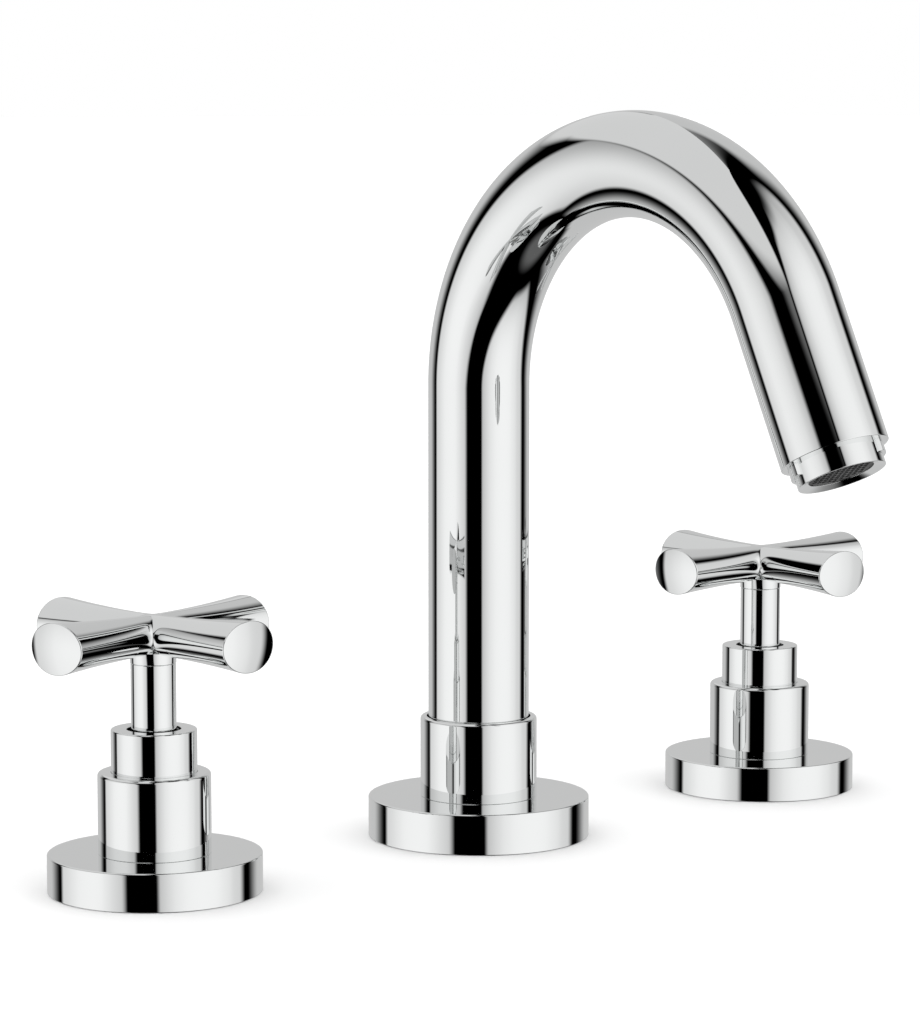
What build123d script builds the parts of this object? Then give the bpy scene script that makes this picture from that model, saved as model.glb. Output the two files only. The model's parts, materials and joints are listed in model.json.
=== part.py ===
"""Three-hole basin mixer: a swan-neck spout between two cross-handle valves.

The deck that it clamps to is the plane z = 0, and the origin is the middle of the spout's
hole. X runs along the row of holes, with hot at -X, and the basin lies towards -Y. Lengths
are in millimetres, and threads are plain cylinders at their outer size.
"""
import os
from math import asin, cos, degrees, radians, sin

from build123d import *

os.makedirs("parts", exist_ok=True)

# Deck and clearances
hole_spacing = 100.0
deck_thickness = 20.0
thread_clearance = 0.05
running_clearance = 0.06
press_clearance = 0.02
seat_clearance = 0.1
washer_clearance = 0.2
touch = 1e-4
stop_clearance = 0.5  # degrees between a stop and its groove at the end of the range

# Pipe threads of the hose tails (G 1/2)
tail_radius = 10.48
tail_length = 15.0
tail_bore = 6.5
tail_depth = 71.0
tail_shoulder = 1.0
tail_shoulder_radius = 12.5
hose_splay = 45.0  # degrees from the row of holes towards the back

# Side valve, flange and sleeves
flange_radius = 25.0
flange_height = 9.0
flange_edge = 0.4
flange_rim = 4.0
flange_seal_bore = 15.0
flange_seal_thickness = 2.0
lower_sleeve_height = 19.0
lower_sleeve_wall = 1.1
lower_sleeve_top = 1.2
lower_sleeve_edge = 0.9
upper_sleeve_height = 10.0
upper_sleeve_wall = 1.5
upper_sleeve_top = 1.6
upper_sleeve_edge = 0.4

# Side valve, body under the deck
shank_bore = 10.5
shank_wall = 1.5
shank_top = 22.0
housing_wall = 6.5
housing_top = 50.0
housing_floor = 6.0
housing_below_tail = 2.5
housing_flat_depth = 1.5
housing_edge = 1.0
inlet_tube_bore = 5.5
inlet_tube_wall = 1.5
inlet_tube_socket = 4.0
disc_chamber_floor = 8.0

# Side valve, quarter-turn headwork
skirt_gap = 1.1
disc_chamber_radius = 8.0
disc_thickness = 3.0
disc_opening_radius = 4.0
disc_opening_width = 2.8
disc_opening_span = 64.0
disc_lug_width = 3.0
seat_seal_proud = 0.6
seat_seal_thickness = 3.8
driver_height = 4.9
driver_plate = 1.6
driver_key_width = 3.0
driver_key_length = 11.0
driver_key_depth = 0.9
window_width = 9.0
window_height = 3.0
gasket_thickness = 0.8
headwork_gap = 0.5
headwork_rim_height = 1.5
hexagon_height = 2.2
neck_wall = 3.39
neck_height = 7.5
spindle_radius = 5.0
spindle_groove = 1.2
spindle_ring_width = 1.6
spindle_ring_height = 14.0
spindle_ring_spacing = 7.0
spline_radius = 3.5
spline_height = 11.2
spline_groove = 0.3
spline_groove_width = 0.5
spline_count = 20
circlip_thickness = 0.8
circlip_groove = 0.6
circlip_proud = 1.5
circlip_gap = 4.0
shaft_land = 1.2
turn_range = 90.0
stop_pin_radius = 1.0
stop_pin_height = 1.6
stop_pin_circle = 6.3

# Handle and stem
stem_wall = 1.7
stem_gap = 1.05
stem_height = 15.4
stem_stud_radius = 4.0
stem_stud_length = 7.0
stem_edge = 0.25
grub_screw_radius = 1.5
grub_screw_height = 5.0
grub_screw_inset = 0.3
key_socket_depth = 0.8
handle_radius = 31.5
handle_boss_height = 0.6
handle_boss_gap = 0.35
arm_end_width = 8.2  # half widths and half heights of the oval section
arm_end_height = 5.95
arm_hub_width = 4.4
arm_hub_height = 4.9
arm_flare = 1.5
arm_swell = 1.2
arm_crotch = 1.2
arm_overrun = 2.5
arm_sections = 7
hub_flatness = 0.96  # height of the rounded hub as a share of the arms' height
hot_rest_turn = 8.5
cold_rest_turn = -2.0

# Clamping parts under the deck
deck_washer_thickness = 2.0
clamp_washer_thickness = 1.5
backnut_height = 8.0
backnut_wall = 4.0
backnut_edge = 1.0
washer_overhang = 10.0

# Spout tube and its outlet
tube_radius = 12.5
tube_wall = 1.5
tube_edge = 0.2
spout_height = 180.0
spout_reach = 120.0
outlet_tilt = 25.5
outlet_straight = 36.0
bush_length = 12.0
bush_wall = 1.4
bush_shoulder = 2.0
bush_shoulder_bore = 7.5
aerator_thread_wall = 1.35
aerator_band_height = 2.8
aerator_band_inset = 1.5
aerator_ring_height = 2.4
aerator_ring_inset = 0.8
aerator_lip = 0.6
aerator_lip_height = 1.0
aerator_edge = 0.2
aerator_turn = 41.0
aerator_washer_thickness = 1.8
aerator_screen_thickness = 3.0
aerator_wall = 0.9
screen_hole_radius = 0.66
screen_hole_pitch = 1.6
screen_rings = 4

# Spout base
spout_flange_radius = 27.5
spout_flange_height = 10.0
collar_height = 20.0
collar_step = 2.0
collar_gap = 0.4
collar_edge = 0.8
base_step = 0.5
base_wall = 3.0
base_above_flange = 8.0
base_length_below = 60.0
base_bore_depth = 10.0
base_widening = 1.0
glide_ring_thickness = 1.5
spigot_socket = 15.0
spigot_bore = 7.0
spigot_groove = 1.4
spigot_ring_width = 2.2
spigot_ring_height = -4.0
spigot_ring_spacing = 8.0
spigot_below_clip = 2.5
snap_ring_thickness = 1.3
snap_ring_proud = 0.8
snap_ring_groove = 1.0
swing_range = 60.0
stop_screw_radius = 2.0
stop_tip_radius = 1.4
stop_screw_inset = 0.5
stop_screw_height = 14.3
stop_groove = 1.5
tee_wall = 4.0
tee_floor = 6.0
tee_gasket_thickness = 2.0
tee_gasket_bore = 9.0

# Sizes that follow
shank_radius = shank_bore + shank_wall
housing_radius = shank_bore + housing_wall
housing_bottom = tail_depth + tail_radius + housing_below_tail
inlet_tube_radius = inlet_tube_bore + inlet_tube_wall
lower_sleeve_bore = shank_radius + thread_clearance
lower_sleeve_radius = lower_sleeve_bore + lower_sleeve_wall
lower_sleeve_end = flange_height + lower_sleeve_height
neck_bore = spindle_radius + running_clearance
neck_radius = neck_bore + neck_wall
upper_sleeve_radius = neck_radius + thread_clearance + upper_sleeve_wall
upper_sleeve_end = lower_sleeve_end + upper_sleeve_height
headwork_thread = shank_bore - thread_clearance
skirt_radius = shank_bore - skirt_gap
rim_foot = shank_top + gasket_thickness
headwork_rim_top = rim_foot + headwork_rim_height
headwork_rim = lower_sleeve_bore - headwork_gap
hexagon_top = headwork_rim_top + hexagon_height
neck_top = hexagon_top + neck_height
seal_foot = -disc_chamber_floor - seat_seal_proud
fixed_disc_foot = seal_foot + seat_seal_thickness
moving_disc_foot = fixed_disc_foot + disc_thickness
driver_foot = moving_disc_foot + disc_thickness
driver_top = driver_foot + driver_height
chamber_top = driver_top + seat_clearance
thread_foot = chamber_top + stop_pin_height
spindle_ring_heights = (spindle_ring_height, spindle_ring_height + spindle_ring_spacing)
circlip_foot = neck_top + seat_clearance
shaft_top = circlip_foot + circlip_thickness + seat_clearance + shaft_land
spline_top = shaft_top + spline_height
stem_radius = spline_radius + thread_clearance + stem_wall
stem_bore = spline_radius + thread_clearance
stem_foot = shaft_top + seat_clearance
stem_top = upper_sleeve_end + stem_height
grub_screw_middle = upper_sleeve_end + grub_screw_height
handle_foot = stem_top + handle_boss_height
arm_face = (handle_radius**2 - arm_end_width**2) ** 0.5
base_radius = tube_radius + base_step
base_bore = base_radius - base_wall
base_top = spout_flange_height + base_above_flange
collar_radius = tube_radius + collar_step
collar_top = spout_flange_height + collar_height
spigot_radius = base_bore - running_clearance
tube_bore = tube_radius - tube_wall
tube_foot = base_top + glide_ring_thickness
spigot_ring_heights = (spigot_ring_height, spigot_ring_height + spigot_ring_spacing)
snap_ring_top = -base_bore_depth - seat_clearance
spigot_foot = snap_ring_top - snap_ring_thickness - spigot_below_clip
bend_angle = 180.0 - outlet_tilt
bend_radius = (spout_reach - outlet_straight * sin(radians(outlet_tilt))) / (
    1.0 + cos(radians(outlet_tilt))
)
bend_height = spout_height - tube_radius - bend_radius
outlet_height = (
    bend_height
    + bend_radius * sin(radians(outlet_tilt))
    - outlet_straight * cos(radians(outlet_tilt))
)
bush_bore = tube_bore - bush_wall
aerator_thread = bush_bore - thread_clearance
aerator_bore = aerator_thread - aerator_thread_wall
aerator_band_radius = tube_radius - aerator_band_inset
aerator_ring_radius = aerator_band_radius - aerator_ring_inset
aerator_top = bush_length - bush_shoulder - aerator_washer_thickness
aerator_end = aerator_band_height + aerator_ring_height
tee_radius = base_radius + tee_wall

deck = Plane.XY
spout_side = Plane(origin=(0, 0, 0), x_dir=(0, -1, 0), z_dir=(-1, 0, 0))
outlet_direction = (0, -sin(radians(outlet_tilt)), -cos(radians(outlet_tilt)))
mouth = Plane(origin=(0, -spout_reach, outlet_height), x_dir=(1, 0, 0), z_dir=outlet_direction)


def write(piece, name):
    """Label a finished piece and write its STEP file."""
    piece.part.label = name
    export_step(piece.part, f"parts/{name}.step")


def wall(place, radius, low, high, bore=0.0, mode=Mode.ADD):
    """A round plate or tube between two heights, with a bore where one is given."""
    with BuildSketch(place.offset(low)) as outline:
        Circle(radius)
        if bore:
            Circle(bore, mode=Mode.SUBTRACT)
    extrude(outline.sketch, amount=high - low, mode=mode)


def hexagon(place, corner_radius, low, high, bore):
    """A hexagon between two heights, with a bore."""
    with BuildSketch(place.offset(low)) as outline:
        RegularPolygon(radius=corner_radius, side_count=6)
        if bore:
            Circle(bore, mode=Mode.SUBTRACT)
    extrude(outline.sketch, amount=high - low)


def arc_groove(place, middle, inner, outer, low, high, span):
    """Cut a groove that runs round the axis for a span, centred on the angle called middle."""
    first = radians(middle - span / 2)
    along = (cos(first), sin(first), 0)
    across = (sin(first), -cos(first), 0)
    with BuildSketch(Plane(origin=place.origin, x_dir=along, z_dir=across)) as section:
        with Locations(((inner + outer) / 2, (low + high) / 2)):
            Rectangle(outer - inner, high - low)
    axis = Axis(place.origin, (0, 0, 1))
    revolve(section.sketch, axis=axis, revolution_arc=span, mode=Mode.SUBTRACT)


def round_corners(place, radius, low, high, edge):
    """Bevel the corners of a hexagon at both ends, as on a turned nut."""
    upright = Plane(origin=place.origin, x_dir=(1, 0, 0), z_dir=(0, -1, 0))
    with BuildSketch(upright) as outline:
        with BuildLine():
            Polyline(
                (0, low),
                (radius - edge, low),
                (radius, low + edge),
                (radius, high - edge),
                (radius - edge, high),
                (0, high),
                close=True,
            )
        make_face()
    revolve(outline.sketch, axis=Axis(place.origin, (0, 0, 1)), mode=Mode.INTERSECT)


def rim(piece, place, height, radius):
    """The round edges of a piece about a place's axis, at a height and radius."""
    middle = place.origin + place.z_dir * height
    rounds = piece.edges().filter_by(GeomType.CIRCLE)
    level = rounds.filter_by(lambda edge: (edge.arc_center - middle).length < touch)
    return level.filter_by(lambda edge: abs(edge.radius - radius) < touch)


def make_flange(name, place, radius, height, bore):
    """Thick round flange, recessed underneath for its seal."""
    with BuildPart() as flange:
        wall(place, radius, 0, height, bore)
        wall(place, radius - flange_rim, 0, flange_seal_thickness, mode=Mode.SUBTRACT)
        fillet(rim(flange, place, height, radius), flange_edge)
    write(flange, name)


def make_ring(name, place, radius, low, high, bore):
    """Flat ring: a seal, a gasket or a washer."""
    with BuildPart() as ring:
        wall(place, radius, low, high, bore)
    write(ring, name)


def make_o_rings(name, place, groove_radius, bore, heights):
    """O-rings between the floor of a groove and the bore round it."""
    thickness = bore - groove_radius
    with BuildPart() as rings:
        with Locations(*[place.origin + Vector(0, 0, height) for height in heights]):
            Torus(groove_radius + thickness / 2, thickness / 2 - press_clearance)
    write(rings, name)


def make_clip(name, place, inner, outer, low, high):
    """Spring clip: a flat ring with a gap."""
    with BuildPart() as clip:
        wall(place, outer, low, high, inner)
        with Locations(place.origin + Vector(outer, 0, (low + high) / 2)):
            Box(2 * outer, circlip_gap, 2 * (high - low), mode=Mode.SUBTRACT)
    write(clip, name)


def make_clamp(prefix, place, radius):
    """Rubber washer, steel washer and backnut on a shank under the deck."""
    loose = radius + washer_clearance
    rubber_foot = -deck_thickness - deck_washer_thickness
    steel_foot = rubber_foot - clamp_washer_thickness
    nut_foot = steel_foot - backnut_height
    washer_radius = radius + washer_overhang
    make_ring(f"{prefix}_deck_washer", place, washer_radius, rubber_foot, -deck_thickness, loose)
    make_ring(f"{prefix}_clamp_washer", place, washer_radius, steel_foot, rubber_foot, loose)
    with BuildPart() as backnut:
        across_corners = (radius + backnut_wall) / cos(radians(30))
        hexagon(place, across_corners, nut_foot, steel_foot, radius + thread_clearance)
        round_corners(place, across_corners, nut_foot, steel_foot, backnut_edge)
    write(backnut, f"{prefix}_backnut")


def hose_side(place, side):
    """Plane on a housing's axis that looks along a hose tail, towards one side and the back."""
    direction = (side * cos(radians(hose_splay)), sin(radians(hose_splay)), 0)
    return Plane(place.origin - (0, 0, tail_depth), x_dir=(0, 0, 1), z_dir=direction)


def hose_tail(place, radius):
    """Tail for a hose's nut, with a shoulder, on a round housing."""
    wall(place, tail_shoulder_radius, 0, radius + tail_shoulder)
    wall(place, tail_radius, 0, radius + tail_shoulder + tail_length)


def hose_bore(place, radius):
    """Bore of a hose tail, from the housing's axis outwards."""
    wall(place, tail_bore, 0, radius + tail_shoulder + tail_length, mode=Mode.SUBTRACT)


def make_valve_body(name, place, inward):
    """Threaded shank on a round housing, with an inlet tail below and an outlet tail beside it."""
    chamber_floor = housing_floor - housing_bottom
    sideways = hose_side(place, inward)
    with BuildPart() as body:
        wall(place, housing_radius, -housing_bottom, -housing_top)
        for height in (-housing_bottom, -housing_top):
            chamfer(rim(body, place, height, housing_radius), housing_edge)
        with BuildSketch(place.offset(-housing_bottom)) as between_flats:
            Rectangle(2 * housing_radius, 2 * (housing_radius - housing_flat_depth))
        extrude(
            between_flats.sketch,
            amount=housing_bottom - housing_top,
            mode=Mode.INTERSECT,
        )
        wall(place, shank_radius, -housing_top, shank_top)
        wall(place, tail_radius, -housing_bottom - tail_length, -housing_bottom)
        hose_tail(sideways, housing_radius)
        wall(place, shank_bore, chamber_floor, shank_top, mode=Mode.SUBTRACT)
        wall(
            place,
            inlet_tube_radius + press_clearance,
            chamber_floor - inlet_tube_socket,
            chamber_floor,
            mode=Mode.SUBTRACT,
        )
        wall(
            place,
            inlet_tube_bore,
            -housing_bottom - tail_length,
            chamber_floor,
            mode=Mode.SUBTRACT,
        )
        hose_bore(sideways, housing_radius)
    write(body, name)


def make_sleeve(name, place, radius, low, high, bore, plate, hole, edge):
    """Round sleeve that closes at the top to a plate with a hole."""
    with BuildPart() as sleeve:
        wall(place, radius, low, high, hole)
        wall(place, bore, low, high - plate, mode=Mode.SUBTRACT)
        fillet(rim(sleeve, place, high, radius), edge)
    write(sleeve, name)


def make_headwork(name, place):
    """Bonnet: skirt round the discs, thread, hexagon and neck, bored for the spindle."""
    groove_span = turn_range + 2 * (stop_clearance + degrees(asin(stop_pin_radius / stop_pin_circle)))
    groove_inner = stop_pin_circle - stop_pin_radius - seat_clearance
    groove_outer = stop_pin_circle + stop_pin_radius + seat_clearance
    groove_top = driver_top + stop_pin_height + seat_clearance
    window_middle = (driver_foot + driver_top - driver_plate) / 2
    with BuildPart() as bonnet:
        wall(place, skirt_radius, -disc_chamber_floor, thread_foot)
        wall(place, headwork_thread, thread_foot, rim_foot)
        wall(place, headwork_rim, rim_foot, headwork_rim_top)
        hexagon(place, headwork_rim, headwork_rim_top, hexagon_top, 0)
        wall(place, neck_radius, hexagon_top, neck_top)
        wall(place, disc_chamber_radius, -disc_chamber_floor, chamber_top, mode=Mode.SUBTRACT)
        wall(place, neck_bore, chamber_top, neck_top, mode=Mode.SUBTRACT)
        arc_groove(place, 90, groove_inner, groove_outer, chamber_top, groove_top, groove_span)
        with Locations(place.origin + Vector(0, 0, window_middle)):
            Box(window_width, 2 * skirt_radius, window_height, mode=Mode.SUBTRACT)
        notch_width = disc_lug_width + 2 * seat_clearance
        notch_height = disc_chamber_floor + moving_disc_foot
        with Locations(place.origin + Vector(0, 0, moving_disc_foot - notch_height / 2)):
            Box(notch_width, 2 * skirt_radius, notch_height, mode=Mode.SUBTRACT)
    write(bonnet, name)


def make_spindle(name, place, turn_way):
    """Spindle: driver with its key and stop pin, shaft with two O-ring grooves, and spline."""
    plate_foot = driver_top - driver_plate
    key_foot = driver_foot - driver_key_depth + seat_clearance
    pin_angle = radians(90 - turn_way * turn_range / 2)
    pin_place = place.origin + Vector(cos(pin_angle), sin(pin_angle), 0) * stop_pin_circle
    groove_floor = spindle_radius - spindle_groove
    with BuildPart() as spindle:
        wall(place, disc_chamber_radius - 2 * seat_clearance, plate_foot, driver_top)
        with Locations(place.origin + Vector(0, 0, (key_foot + plate_foot) / 2)):
            Box(driver_key_length, driver_key_width, plate_foot - key_foot)
        wall(Plane(pin_place), stop_pin_radius, driver_top, driver_top + stop_pin_height)
        wall(place, spindle_radius, driver_top, shaft_top)
        for middle in spindle_ring_heights:
            low = middle - spindle_ring_width / 2
            high = middle + spindle_ring_width / 2
            wall(place, spindle_radius, low, high, groove_floor, mode=Mode.SUBTRACT)
        wall(
            place,
            spindle_radius,
            circlip_foot - seat_clearance / 2,
            circlip_foot + circlip_thickness + seat_clearance,
            spindle_radius - circlip_groove,
            mode=Mode.SUBTRACT,
        )
        with BuildSketch(place.offset(shaft_top)) as spline:
            Circle(spline_radius)
            with PolarLocations(spline_radius, spline_count):
                Rectangle(2 * spline_groove, spline_groove_width, mode=Mode.SUBTRACT)
        extrude(spline.sketch, amount=spline_height)
    write(spindle, name)


def make_discs(prefix, place):
    """Fixed disc with its water openings on X, and moving disc with its openings on Y at rest."""
    inner = disc_opening_radius - disc_opening_width / 2
    outer = disc_opening_radius + disc_opening_width / 2
    with BuildPart() as fixed:
        wall(place, disc_chamber_radius - seat_clearance, fixed_disc_foot, moving_disc_foot)
        with Locations(place.origin + Vector(0, 0, (fixed_disc_foot + moving_disc_foot) / 2)):
            Box(disc_lug_width, 2 * (skirt_radius - seat_clearance), disc_thickness)
        for middle in (0, 180):
            arc_groove(place, middle, inner, outer, fixed_disc_foot, moving_disc_foot, disc_opening_span)
    write(fixed, f"{prefix}_fixed_disc")
    with BuildPart() as moving:
        wall(place, disc_chamber_radius - 2 * seat_clearance, moving_disc_foot, driver_foot)
        for middle in (90, 270):
            arc_groove(place, middle, inner, outer, moving_disc_foot, driver_foot, disc_opening_span)
        with Locations(place.origin + Vector(0, 0, driver_foot - driver_key_depth / 2)):
            Box(
                driver_key_length + 2 * seat_clearance,
                driver_key_width + 2 * seat_clearance,
                driver_key_depth,
                mode=Mode.SUBTRACT,
            )
    write(moving, f"{prefix}_moving_disc")


def make_stem(name, place):
    """Round stem: socket for the spline below, stud for the handle above, grub screw behind."""
    behind = Plane(place.origin + (0, 0, grub_screw_middle), x_dir=(1, 0, 0), z_dir=(0, 1, 0))
    with BuildPart() as stem:
        wall(place, stem_radius, stem_foot, stem_top)
        fillet(rim(stem, place, stem_top, stem_radius), stem_edge)
        wall(place, stem_stud_radius, stem_top, stem_top + stem_stud_length)
        wall(place, stem_bore, stem_foot, spline_top + seat_clearance, mode=Mode.SUBTRACT)
        wall(behind, grub_screw_radius, 0, stem_radius, mode=Mode.SUBTRACT)
    write(stem, name)


def make_grub_screw(name, place):
    """Headless screw from the back of the stem to the spline, with a hexagon socket."""
    behind = Plane(place.origin + (0, 0, grub_screw_middle), x_dir=(1, 0, 0), z_dir=(0, 1, 0))
    outer_end = stem_radius - grub_screw_inset
    with BuildPart() as screw:
        wall(
            behind,
            grub_screw_radius - thread_clearance,
            spline_radius + press_clearance,
            outer_end,
        )
        with BuildSketch(behind.offset(outer_end)) as socket:
            RegularPolygon(radius=grub_screw_radius / 2, side_count=6)
        extrude(socket.sketch, amount=-key_socket_depth, mode=Mode.SUBTRACT)
    write(screw, name)


def arm_width(reach):
    """Half the width of an arm's oval section at a distance from the hub's axis."""
    share = abs(reach) / arm_face
    return arm_hub_width + (arm_end_width - arm_hub_width) * share**arm_flare


def arm_height(reach):
    """Half the height of an arm's oval section at a distance from the hub's axis."""
    share = abs(reach) / arm_face
    return arm_hub_height + (arm_end_height - arm_hub_height) * share**arm_swell


def shape_arm():
    """One arm along +X that flares to a domed end, cut at 45 degrees where it meets the next."""
    length = handle_radius + arm_overrun
    with BuildPart() as arm:
        for step in range(-1, arm_sections):
            reach = length * step / (arm_sections - 1)
            middle = (reach, 0, arm_height(reach))
            with BuildSketch(Plane(origin=middle, x_dir=(0, 1, 0), z_dir=(1, 0, 0))):
                Ellipse(arm_width(reach), arm_height(reach))
        loft()
        with BuildSketch(deck) as quarter:
            with BuildLine():
                Polyline((0, 0), (length, length), (length, -length), close=True)
            make_face()
        extrude(quarter.sketch, amount=3 * arm_end_height, mode=Mode.INTERSECT)
        with Locations((0, 0, arm_end_height)):
            Sphere(handle_radius, mode=Mode.INTERSECT)
    return arm.part


def make_handle(name, place, rest_turn, arm):
    """Cross handle: four arms, a hub that rounds the corners between them, and a boss below."""
    middle = place.origin + Vector(0, 0, handle_foot + arm_hub_height)
    corner = arm_width(arm_hub_width) * 2**0.5
    hub_radius = corner + arm_crotch * (2**0.5 - 1)
    with BuildPart() as handle:
        with Locations(Location(place.origin + Vector(0, 0, handle_foot), (0, 0, rest_turn))):
            with PolarLocations(0, 4):
                add(arm)
        with BuildSketch(Plane(origin=middle, x_dir=(1, 0, 0), z_dir=(0, -1, 0))) as half:
            Ellipse(hub_radius, arm_hub_height * hub_flatness)
            with Locations((-hub_radius, 0)):
                Rectangle(2 * hub_radius, 4 * arm_hub_height, mode=Mode.SUBTRACT)
        revolve(half.sketch, axis=Axis(place.origin, (0, 0, 1)))
        wall(place, stem_radius + handle_boss_gap, stem_top, handle_foot + arm_hub_height)
        wall(
            place,
            stem_stud_radius + thread_clearance,
            stem_top,
            stem_top + stem_stud_length + seat_clearance,
            mode=Mode.SUBTRACT,
        )
    write(handle, name)


def make_spout_tube():
    """Swan-neck tube with the threaded bush brazed into its outlet."""
    with BuildPart() as tube:
        with BuildLine(spout_side):
            Line((0, tube_foot), (0, bend_height))
            bend = CenterArc((bend_radius, bend_height), bend_radius, 180, -bend_angle)
            Line(bend @ 1, (bend @ 1) + (bend % 1) * outlet_straight)
        with BuildSketch(deck.offset(tube_foot)):
            Circle(tube_radius)
            Circle(tube_bore, mode=Mode.SUBTRACT)
        sweep()
        wall(mouth, tube_bore, -bush_length, 0, bush_bore)
        shoulder = bush_shoulder - bush_length
        wall(mouth, bush_bore, -bush_length, shoulder, bush_shoulder_bore)
        fillet(rim(tube, mouth, 0, tube_radius), tube_edge)
    write(tube, "spout_tube")


def make_aerator():
    """Aerator: threaded housing with spanner flats, honeycomb insert and rubber washer."""
    insert_end = aerator_end - aerator_lip_height
    insert_radius = aerator_bore - seat_clearance
    with BuildPart() as housing:
        wall(mouth, aerator_thread, -aerator_top, 0)
        with BuildSketch(mouth) as band:
            Circle(aerator_band_radius)
            Rectangle(
                2 * aerator_ring_radius,
                2 * aerator_band_radius,
                rotation=aerator_turn,
                mode=Mode.INTERSECT,
            )
        extrude(band.sketch, amount=aerator_band_height)
        wall(mouth, aerator_ring_radius, aerator_band_height, aerator_end)
        fillet(rim(housing, mouth, aerator_end, aerator_ring_radius), aerator_edge)
        wall(mouth, aerator_bore, -aerator_top, insert_end, mode=Mode.SUBTRACT)
        wall(mouth, aerator_bore - aerator_lip, insert_end, aerator_end, mode=Mode.SUBTRACT)
    write(housing, "aerator_housing")
    with BuildPart() as insert:
        wall(mouth, insert_radius, -aerator_top, insert_end)
        plate_foot = insert_end - aerator_screen_thickness
        wall(mouth, insert_radius - aerator_wall, -aerator_top, plate_foot, mode=Mode.SUBTRACT)
        row_step = screen_hole_pitch * cos(radians(30))
        with BuildSketch(mouth.offset(plate_foot)) as openings:
            for row in range(-screen_rings, screen_rings + 1):
                in_row = 2 * screen_rings + 1 - abs(row)
                for place_in_row in range(in_row):
                    along = (place_in_row - (in_row - 1) / 2) * screen_hole_pitch
                    with Locations((along, row * row_step)):
                        RegularPolygon(radius=screen_hole_radius, side_count=6, rotation=30)
        extrude(openings.sketch, amount=aerator_screen_thickness, mode=Mode.SUBTRACT)
    write(insert, "aerator_insert")
    washer_foot = bush_shoulder - bush_length
    make_ring(
        "aerator_washer",
        mouth,
        aerator_thread,
        washer_foot,
        -aerator_top,
        bush_shoulder_bore,
    )


def make_spigot():
    """Spigot that the spout turns on, with its grooves for O-rings, snap ring and stop."""
    tip_end = spigot_radius - stop_groove
    groove_span = 2 * (swing_range + stop_clearance + degrees(asin(stop_tip_radius / tip_end)))
    with BuildPart() as spigot:
        wall(deck, spigot_radius, spigot_foot, tube_foot, spigot_bore)
        wall(deck, tube_bore - press_clearance, tube_foot, tube_foot + spigot_socket, spigot_bore)
        for middle in spigot_ring_heights:
            low = middle - spigot_ring_width / 2
            high = middle + spigot_ring_width / 2
            floor = spigot_radius - spigot_groove
            wall(deck, spigot_radius, low, high, floor, mode=Mode.SUBTRACT)
        wall(
            deck,
            spigot_radius,
            snap_ring_top - snap_ring_thickness - seat_clearance,
            snap_ring_top + seat_clearance / 2,
            spigot_radius - snap_ring_groove,
            mode=Mode.SUBTRACT,
        )
        arc_groove(
            deck,
            90,
            tip_end,
            base_radius,
            stop_screw_height - stop_tip_radius - seat_clearance,
            stop_screw_height + stop_tip_radius + seat_clearance,
            groove_span,
        )
    write(spigot, "swivel_spigot")


def make_spout_base():
    """Threaded base that holds the spigot, collar round it and the screw through both."""
    behind = Plane((0, 0, stop_screw_height), x_dir=(1, 0, 0), z_dir=(0, 1, 0))
    screw_hole = stop_screw_radius + thread_clearance
    with BuildPart() as base:
        wall(deck, base_radius, -base_length_below, base_top, base_bore)
        wall(
            deck,
            base_bore + base_widening,
            -base_length_below,
            -base_bore_depth,
            mode=Mode.SUBTRACT,
        )
        wall(behind, screw_hole, 0, collar_radius, mode=Mode.SUBTRACT)
    write(base, "spout_shank")
    with BuildPart() as collar:
        wall(deck, collar_radius, spout_flange_height, collar_top, tube_radius + collar_gap)
        wall(
            deck,
            base_radius + thread_clearance,
            spout_flange_height,
            base_top,
            mode=Mode.SUBTRACT,
        )
        fillet(rim(collar, deck, collar_top, collar_radius), collar_edge)
        wall(behind, screw_hole, 0, collar_radius, mode=Mode.SUBTRACT)
    write(collar, "spout_collar")
    outer_end = collar_radius - stop_screw_inset
    with BuildPart() as screw:
        wall(behind, stop_screw_radius, base_bore, outer_end)
        wall(behind, stop_tip_radius, spigot_radius - stop_groove + seat_clearance, base_bore)
        with BuildSketch(behind.offset(outer_end)) as socket:
            RegularPolygon(radius=stop_screw_radius / 2, side_count=6)
        extrude(socket.sketch, amount=-key_socket_depth, mode=Mode.SUBTRACT)
    write(screw, "spout_stop_screw")


def make_tee():
    """Tee on the foot of the spout's base, with an inlet tail on each side, and its gasket."""
    gasket_foot = -base_length_below - tee_gasket_thickness
    with BuildPart() as tee:
        wall(deck, tee_radius, -housing_bottom, -housing_top)
        for height in (-housing_bottom, -housing_top):
            chamfer(rim(tee, deck, height, tee_radius), housing_edge)
        for side in (-1, 1):
            hose_tail(hose_side(deck, side), tee_radius)
        wall(deck, tee_gasket_bore, tee_floor - housing_bottom, gasket_foot, mode=Mode.SUBTRACT)
        wall(
            deck,
            base_radius + thread_clearance,
            gasket_foot,
            -housing_top,
            mode=Mode.SUBTRACT,
        )
        for side in (-1, 1):
            hose_bore(hose_side(deck, side), tee_radius)
    write(tee, "tee_piece")
    make_ring("tee_gasket", deck, base_radius, gasket_foot, -base_length_below, tee_gasket_bore)


cross_arm = shape_arm()

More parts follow.
